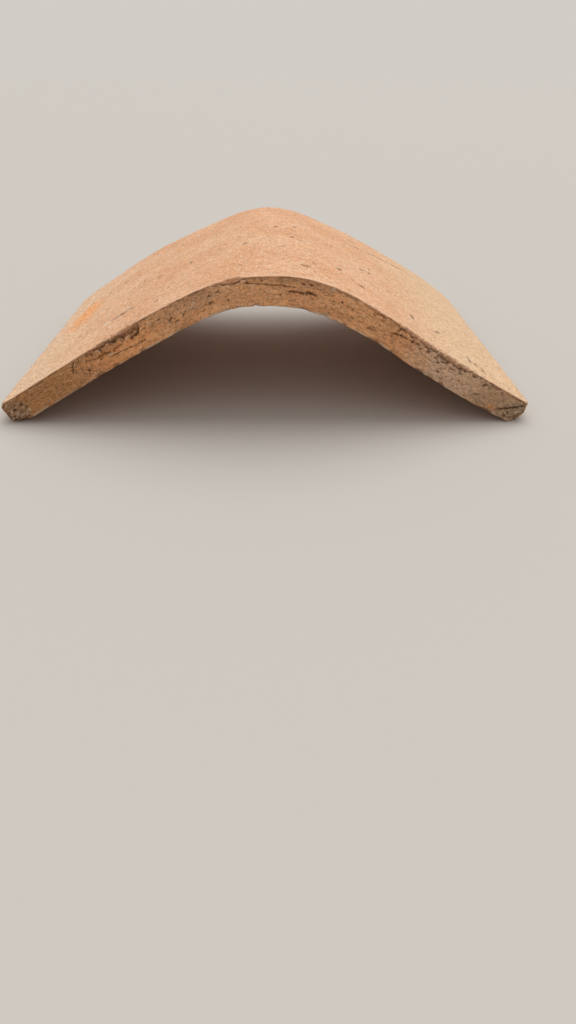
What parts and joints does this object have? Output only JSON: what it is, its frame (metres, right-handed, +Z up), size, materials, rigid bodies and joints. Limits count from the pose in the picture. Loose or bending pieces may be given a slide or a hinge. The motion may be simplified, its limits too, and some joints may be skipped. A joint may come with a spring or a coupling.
{
  "type": "ridge tile",
  "caption": "Angular roof ridge tile of unglazed fired clay: flat wings that fall from a rounded crown at an obtuse angle, open underneath, with square-cut ends.",
  "frame": {"origin": "middle of the footprint, on the level floor that the two long edges stand on", "axes": "+X across the tile, +Y along the ridge to the back end, +Z up"},
  "size_m": [0.4, 0.305, 0.1086],
  "materials": {
    "fired_clay": "unglazed, sandy, matt, weathered buff to terracotta"
  },
  "bodies": {
    "root": {"ridge_tile": "fired_clay"}
  },
  "joints": []
}
